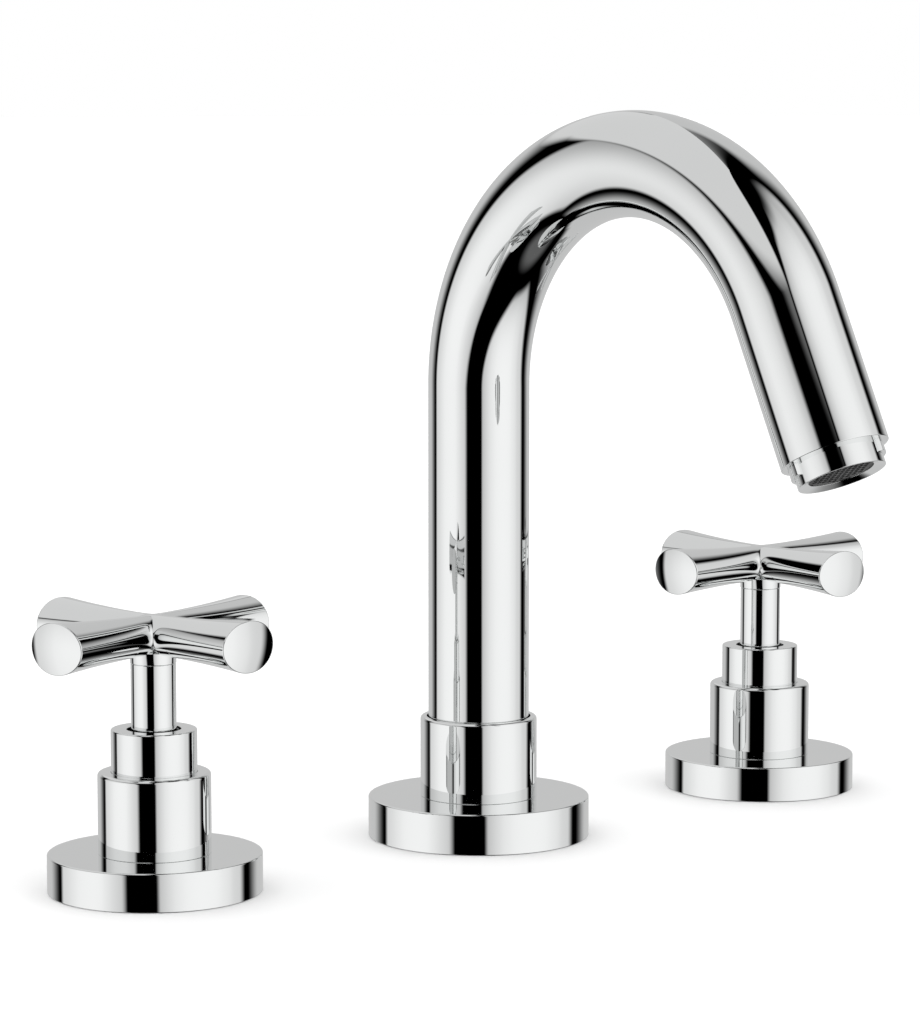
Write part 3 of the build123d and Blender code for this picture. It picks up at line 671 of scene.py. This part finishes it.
materials = {
    "chrome": worked(
        "polished chrome",
        dark=(0.842, 0.852, 0.85),
        light=(0.872, 0.882, 0.88),
        metallic=1.0,
        rough=(0.012, 0.03),
        blotch=45.0,
        grain=700.0,
        share=0.1,
        bump=3e-6,
    ),
    "brass": worked(
        "machined brass",
        dark=(0.6, 0.44, 0.19),
        light=(0.78, 0.62, 0.33),
        metallic=1.0,
        rough=(0.2, 0.38),
        blotch=40.0,
        grain=900.0,
        share=0.4,
        bump=2e-5,
        stretch=(1, 1, 6),
    ),
    "steel": worked(
        "turned steel",
        dark=(0.5, 0.5, 0.5),
        light=(0.66, 0.66, 0.66),
        metallic=1.0,
        rough=(0.22, 0.36),
        blotch=50.0,
        grain=1100.0,
        share=0.5,
        bump=1.5e-5,
        stretch=(1, 1, 5),
    ),
    "rubber": worked(
        "black rubber",
        dark=(0.018, 0.018, 0.019),
        light=(0.045, 0.044, 0.043),
        metallic=0.0,
        rough=(0.55, 0.8),
        blotch=90.0,
        grain=1500.0,
        share=0.5,
        bump=4e-5,
    ),
    "fibre": worked(
        "red fibre",
        dark=(0.32, 0.07, 0.045),
        light=(0.5, 0.14, 0.09),
        metallic=0.0,
        rough=(0.6, 0.8),
        blotch=120.0,
        grain=2200.0,
        share=0.6,
        bump=5e-5,
    ),
    "ceramic": worked(
        "lapped ceramic",
        dark=(0.84, 0.82, 0.77),
        light=(0.93, 0.92, 0.89),
        metallic=0.0,
        rough=(0.12, 0.25),
        blotch=60.0,
        grain=1800.0,
        share=0.3,
        bump=5e-6,
        coat=0.3,
    ),
    # painted shade: near-black plastic that stands in for the shade inside the spout's mouth
    "dark": worked(
        "near-black plastic as painted shade",
        dark=(0.012, 0.012, 0.012),
        light=(0.03, 0.03, 0.03),
        metallic=0.0,
        rough=(0.35, 0.55),
        blotch=80.0,
        grain=900.0,
        share=0.3,
        bump=1e-5,
    ),
    "plastic": worked(
        "white moulded plastic",
        dark=(0.76, 0.76, 0.74),
        light=(0.86, 0.86, 0.85),
        metallic=0.0,
        rough=(0.3, 0.45),
        blotch=60.0,
        grain=900.0,
        share=0.3,
        bump=1e-5,
    ),
}

# %% [markdown]
# ## Materials on the pieces
#
# The record names a material for every piece of the solid model, so one loop serves them all.
# The flow straightener in the mouth is the one exception: the inside of the mouth is in shade,
# so its white plastic is drawn near-black, as painted shade.

# %% Put each material on its pieces
for piece in chrome_pieces:
    piece.data.materials.clear()
    piece.data.materials.append(materials["chrome"])
subparts = frame["record"]["subparts"]
for part in subparts:
    node = frame["nodes"][part["node"]]
    # the aerator insert gets painted shade: near-black in place of its white plastic, for the
    # unlit mouth
    wanted = "dark" if part["node"] == "aerator_insert" else part["material_slot"]
    if not node.material_slots:
        node.data.materials.append(None)
    for place in node.material_slots:
        place.link = "OBJECT"
        place.material = materials[wanted]
slots = [part["material_slot"] for part in subparts]
print("pieces by the record's slot:", {name: slots.count(name) for name in materials})

# %% [markdown]
# ## Camera
#
# The photograph shows the mixer from the front left, as through a long lens, from a little above
# the handles. Its three pieces don't share one exact viewpoint, so this camera is a compromise.
# It is placed by its angle round the object, its height angle and its distance from a point
# that it aims at, which are easier to read than a matrix. The lens follows from the size of the
# pieces in the picture.

# %% Place the camera
from mathutils import Matrix

azimuth, elevation, distance = np.radians(41.05), np.radians(6.49), 0.9
aim = np.array([-6.15, 0, 80.61]) * mm
look = np.array(
    [np.sin(azimuth) * np.cos(elevation), np.cos(azimuth) * np.cos(elevation), -np.sin(elevation)]
)
right = np.array([np.cos(azimuth), -np.sin(azimuth), 0])
above = np.cross(right, look)
picture_height, pixels_per_radian, sensor_width = 1030, 3648.7, 36.0
camera_data = bpy.data.cameras.new("camera")
camera_data.sensor_width = sensor_width
camera_data.lens = sensor_width * pixels_per_radian / picture_height
camera_data.clip_start, camera_data.clip_end = 0.05, 50
camera = bpy.data.objects.new("camera", camera_data)
place = Matrix.Identity(4)
for column, axis in enumerate((right, above, -look)):
    for row in range(3):
        place[row][column] = axis[row]
place.translation = tuple(aim - look * distance)
camera.matrix_world = place
bpy.context.scene.collection.objects.link(camera)
bpy.context.scene.camera = camera
print("lens", round(camera_data.lens, 1), "mm")

# %% [markdown]
# ## Studio
#
# A mirror shows the room, so the studio is drawn as the photograph's chrome shows it: a broad
# soft light on each side, a pale board overhead on the left, a pale wall behind, and darkness
# between them, most of all round the camera. It could be built from lamps and panels, but these
# would have to stand far away and yet be exact. Here the world's own light draws each panel by
# its corners, given in degrees round from the camera and up from level.

# %% A group for one straight edge of a panel
def make_panel_edge():
    """Group: how deep a direction lies inside a straight edge, over the edge's softness.

    Depth = dot(Direction - Corner, Inwards) / Softness, with angles in degrees.
    """
    group = bpy.data.node_groups.new("panel edge", "ShaderNodeTree")
    face = group.interface
    for label in ("Direction", "Corner", "Inwards"):
        face.new_socket(label, in_out="INPUT", socket_type="NodeSocketVector")
    face.new_socket("Softness", in_out="INPUT", socket_type="NodeSocketFloat")
    face.new_socket("Depth", in_out="OUTPUT", socket_type="NodeSocketFloat")
    source = add_node(group, "NodeGroupInput", (-600, 0))
    sink = add_node(group, "NodeGroupOutput", (400, 0))
    offset = vector_node(
        group, "SUBTRACT", (-400, 0), source.outputs["Direction"], source.outputs["Corner"]
    )
    inside = vector_node(group, "DOT_PRODUCT", (-200, 0), offset, source.outputs["Inwards"])
    depth = math_node(group, "DIVIDE", (0, 0), inside, source.outputs["Softness"])
    group.links.new(depth, sink.inputs["Depth"])
    return group


panel_edge = make_panel_edge()
print("edge sockets:", [item.name for item in panel_edge.interface.items_tree])

# %% Round and up, in degrees
world = bpy.data.worlds.new("studio")
bpy.context.scene.world = world
world.use_nodes = True
sky = world.node_tree
ray = add_node(sky, "ShaderNodeTexCoord", (-2600, 0)).outputs["Generated"]
front = -np.array([np.sin(azimuth), np.cos(azimuth), 0])
to_front = vector_node(sky, "DOT_PRODUCT", (-2400, 200), ray, front)
to_right = vector_node(sky, "DOT_PRODUCT", (-2400, 0), ray, right)
to_top = vector_node(sky, "DOT_PRODUCT", (-2400, -200), ray, (0, 0, 1))
round_angle = math_node(sky, "ARCTAN2", (-2200, 100), to_right, to_front)
up_angle = math_node(sky, "ARCSINE", (-2200, -200), to_top)
around = math_node(sky, "DEGREES", (-2000, 100), round_angle)
up = math_node(sky, "DEGREES", (-2000, -200), up_angle)
chart = add_node(sky, "ShaderNodeCombineXYZ", (-1800, 0))
sky.links.new(around, chart.inputs["X"])
sky.links.new(up, chart.inputs["Y"])
chart = chart.outputs["Vector"]
print("towards the camera, level:", np.round(front, 3))


# %% Helpers that draw a panel
edge_join, least_level = 0.9, 0.15


def ramp(at, value, start, end, low=0.0, high=1.0):
    """Smooth step of a value, from low at start to high at end."""
    node = sky.nodes.new("ShaderNodeMapRange")
    node.interpolation_type = "SMOOTHSTEP"
    node.location = at
    sky.links.new(value, node.inputs["Value"])
    for label, number in (
        ("From Min", start),
        ("From Max", end),
        ("To Min", low),
        ("To Max", high),
    ):
        node.inputs[label].default_value = number
    return node.outputs["Result"]


def panel(row, corners, softness, strength):
    """Panel with straight soft edges; corners go anticlockwise, one softness for each side.

    Light = smoothstep(least depth of the direction inside the edges) * strength, where a
    smooth minimum rounds the panel's corners.
    """
    corner = np.array(corners, float)
    along = unit(np.roll(corner, -1, axis=0) - corner)
    inwards = np.stack([-along[:, 1], along[:, 0]], axis=1)
    least = None
    for number, (point, inward, soft) in enumerate(zip(corner, inwards, softness)):
        edge = sky.nodes.new("ShaderNodeGroup")
        edge.node_tree = panel_edge
        edge.location = (-1500 + 180 * number, -500 * row)
        sky.links.new(chart, edge.inputs["Direction"])
        edge.inputs["Corner"].default_value = (*point, 0)
        edge.inputs["Inwards"].default_value = (*inward, 0)
        edge.inputs["Softness"].default_value = soft
        depth = edge.outputs["Depth"]
        at = (-1400 + 180 * number, -500 * row - 200)
        if least is None:
            least = depth
        else:
            least = math_node(sky, "SMOOTH_MIN", at, least, depth, edge_join)
    return ramp((900, -500 * row), least, 0.0, 1.0, 0.0, strength)


def brightness(at, levels):
    """Light of both big lamps by the angle round, as a curve through (degrees, level) pairs."""
    share = math_node(sky, "MULTIPLY_ADD", at, around, 1 / 360, 0.5)
    node = sky.nodes.new("ShaderNodeFloatCurve")
    node.location = (at[0] + 200, at[1])
    curve = node.mapping.curves[0]
    curve.points[0].location, curve.points[1].location = (0, 0.5), (1, 0.5)
    for degrees, level in levels:
        curve.points.new(degrees / 360 + 0.5, level)
    node.mapping.use_clip = False
    node.mapping.update()
    sky.links.new(share, node.inputs["Value"])
    return node.outputs["Value"]


def fading(at, middle, half, most, power):
    """Level of a lamp that is weaker towards its ends, never below the least level.

    Level = 1 - most * |(up - middle) / half| ^ power.
    """
    offset = math_node(sky, "MULTIPLY_ADD", at, up, 1 / half, -middle / half)
    square = math_node(sky, "MULTIPLY", (at[0] + 160, at[1]), offset, offset)
    steep = math_node(sky, "POWER", (at[0] + 320, at[1]), square, power / 2)
    drop = math_node(sky, "MULTIPLY_ADD", (at[0] + 480, at[1]), steep, -most, 1.0)
    return math_node(sky, "MAXIMUM", (at[0] + 640, at[1]), drop, least_level)


print("sky nodes before the panels:", len(sky.nodes))

# %% Draw the lamp on the left and the lamp on the right
round_level = brightness(
    (-600, 900),
    [
        (-119, 0.72), (-104, 0.81), (-91, 0.93), (-78, 1.01), (-60, 1.02), (-50, 0.94),
        (-41, 0.82), (-32, 0.7), (-27, 0.6), (4, 0.48), (10, 0.62), (15, 0.72), (21, 0.82),
        (31, 0.94), (48, 1.02), (67, 1.02), (82, 0.94), (90, 0.88), (100, 0.76), (118, 0.7),
    ],
)
left_light = panel(
    0,
    [
        (-116, 36), (-114, -61), (-60, -61), (-27, -47),
        (-17, -32), (-24.5, -8), (-27, 20), (-72, 31),
    ],
    [6, 8, 9, 9, 8, 4, 6, 5],
    1.0,
)
left_fading = fading((200, 600), -6, 60, 0.3, 2)
left_light = math_node(sky, "MULTIPLY", (1100, 200), left_light, left_fading)
upper_half = ramp((900, 400), up, -10.0, 46.0, 1.0, 0.5)
left_light = math_node(sky, "MULTIPLY", (1250, 400), left_light, upper_half)
right_light = panel(
    1,
    [
        (4, 6), (5, -12), (14, -32), (27, -46), (52, -61), (98, -61), (113.5, -30), (126, 66),
        (112, 77), (68, 77), (38, 73), (10, 56), (4, 42),
    ],
    [3, 5, 7, 8, 8, 8, 10, 17, 12, 12, 6, 4, 4],
    1.0,
)
right_fading = fading((200, 800), 5, 66, 0.62, 4)
right_light = math_node(sky, "MULTIPLY", (1100, -300), right_light, right_fading)
lamps = math_node(sky, "MAXIMUM", (1250, 0), left_light, right_light)
lamps = math_node(sky, "MULTIPLY", (1400, 0), lamps, round_level)
print("sky nodes with both lamps:", len(sky.nodes))

# %% Draw the board overhead, the walls behind and the ground
board_level, wall_level, wall_top_level, ground_level = 0.71, 0.59, 0.3, 0.12
board = panel(
    2,
    [(-400, -34), (3, 30), (3, 41), (0.5, 49), (-8, 63), (-20, 84), (-27, 96), (-400, 96)],
    [17, 3, 4, 5, 5, 5, 3, 3],
    board_level,
)
board = math_node(sky, "MULTIPLY", (1250, -1000), board, ramp((900, -1200), up, 30.0, 34.0))
board_behind = panel(
    3, [(-181, 7), (-116, 33), (-116, 60), (-181, 60)], [8, 3, 3, 3], board_level
)
wall_left = panel(
    4,
    [(-190, -66), (-117, -66), (-117, 8), (-133, 33), (-190, 33)],
    [6, 25, 18, 16, 5],
    wall_level,
)
wall_right = panel(
    5, [(118, -62), (190, -66), (190, 62), (128, 62)], [8, 5, 14, 26], wall_level
)
wall_above = panel(
    6, [(150, 48), (190, 48), (190, 92), (150, 92)], [6, 5, 5, 45], wall_top_level
)
ground = ramp((400, -4500), up, -70.0, -82.0, 0.0, ground_level)
print("sky nodes with board, walls and ground:", len(sky.nodes))

# %% Join the panels
others = [board, board_behind, wall_left, wall_right, wall_above, ground]
brightest = lamps
for step, other in enumerate(others):
    brightest = math_node(sky, "MAXIMUM", (1000 + 160 * step, -400 * step), brightest, other)
seen = add_node(sky, "ShaderNodeLightPath", (2400, 400)).outputs["Is Camera Ray"]
chosen = sky.nodes.new("ShaderNodeMix")
chosen.location = (2600, 0)
sky.links.new(seen, chosen.inputs["Factor"])
sky.links.new(brightest, chosen.inputs["A"])
chosen.inputs["B"].default_value = 1.0
backdrop = sky.nodes["Background"]
sky.links.new(chosen.outputs["Result"], backdrop.inputs["Color"])
backdrop.inputs["Strength"].default_value = 1.0
print("lights joined:", len(others) + 2)

# %% [markdown]
# ## Floor
#
# The basin's rim is drawn as a plain pale floor that runs out to a white background, so only
# the soft shadows round the flanges show. A very wide sun overhead lights it evenly. Mirrors
# show neither the floor nor the sun: the photograph's chrome has a dark room below it. For the
# same reason mirrors don't show the parts under the deck, which a real deck hides. A curved
# backdrop is the usual way to a white ground, but this one has no bend that could show.

# %% Lay the floor and hang the sun
floor_size, floor_drop = 30.0, 1e-4
floor_mesh = bpy.data.meshes.new("floor")
square = np.array([(-1, -1, 0), (1, -1, 0), (1, 1, 0), (-1, 1, 0)]) * floor_size
floor_mesh.from_pydata(square + np.array([0, 0, -floor_drop]), [], [(0, 1, 2, 3)])
floor = bpy.data.objects.new("floor", floor_mesh)
floor.visible_glossy = False
bpy.context.scene.collection.objects.link(floor)
pale = bpy.data.materials.new("pale floor")
pale.use_nodes = True
pale_shader = pale.node_tree.nodes["Principled BSDF"]
pale_shader.inputs["Base Color"].default_value = (0.92, 0.92, 0.92, 1)
pale_shader.inputs["Roughness"].default_value = 1.0
pale_shader.inputs["Specular IOR Level"].default_value = 0.0
floor_mesh.materials.append(pale)
sun_data = bpy.data.lights.new("wide sun", "SUN")
sun_data.angle = np.radians(150)
sun_data.energy = 2.4
sun = bpy.data.objects.new("wide sun", sun_data)
sun.location = (0, 0, 2.0)
sun.visible_glossy = False
bpy.context.scene.collection.objects.link(sun)
bpy.context.scene.view_settings.view_transform = "Standard"
print("floor", 2 * floor_size, "m wide, sun", sun_data.energy, "W/m2")

# %% Hide the parts under the deck from mirrors
under_deck = -0.003
hidden = [name for name in frame["nodes"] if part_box(name)[0][2] < under_deck]
for name in hidden:
    frame["nodes"][name].visible_glossy = False
print("nodes under the deck:", len(hidden))
